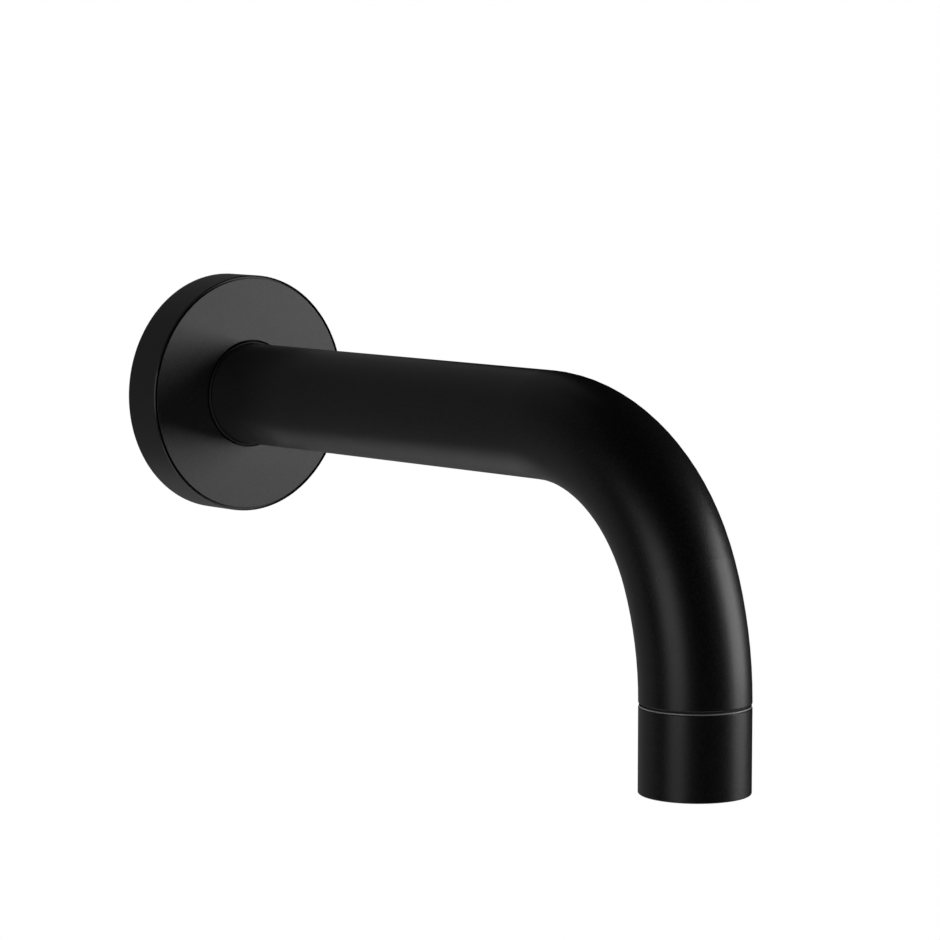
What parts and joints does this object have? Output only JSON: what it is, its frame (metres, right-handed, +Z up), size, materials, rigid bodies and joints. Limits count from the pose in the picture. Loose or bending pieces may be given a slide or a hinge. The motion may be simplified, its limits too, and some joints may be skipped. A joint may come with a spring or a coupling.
{
  "type": "bath spout",
  "caption": "Wall-fixed bath spout in matte black: a round tube bent down to a flush outlet collar with a flow straightener, and a round cover flange over a half-inch pipe inlet.",
  "frame": {"origin": "centre of the flange's back face on the wall plane, on the tube's axis", "axes": "+Z up, +Y into the wall, so the spout runs out along -Y and its outlet looks down along -Z; X is sideways"},
  "size_m": [0.06, 0.1851, 0.1088],
  "materials": {
    "matte_black": "matte black coating on brass, fine even grain",
    "bare_brass": "turned and threaded",
    "black_rubber": "moulded, satin",
    "soft_foam": "closed-cell foam",
    "insert_plastic": "moulded",
    "pale_nylon": "moulded washer"
  },
  "bodies": {
    "root": {"spout_tube": "matte_black", "wall_flange": "matte_black", "outlet_collar": "matte_black", "inlet_bush": "bare_brass", "flange_seal": "black_rubber", "outlet_seal": "pale_nylon", "wall_gasket": "soft_foam", "flow_straightener": "insert_plastic", "filter_screen": "insert_plastic"}
  },
  "joints": []
}
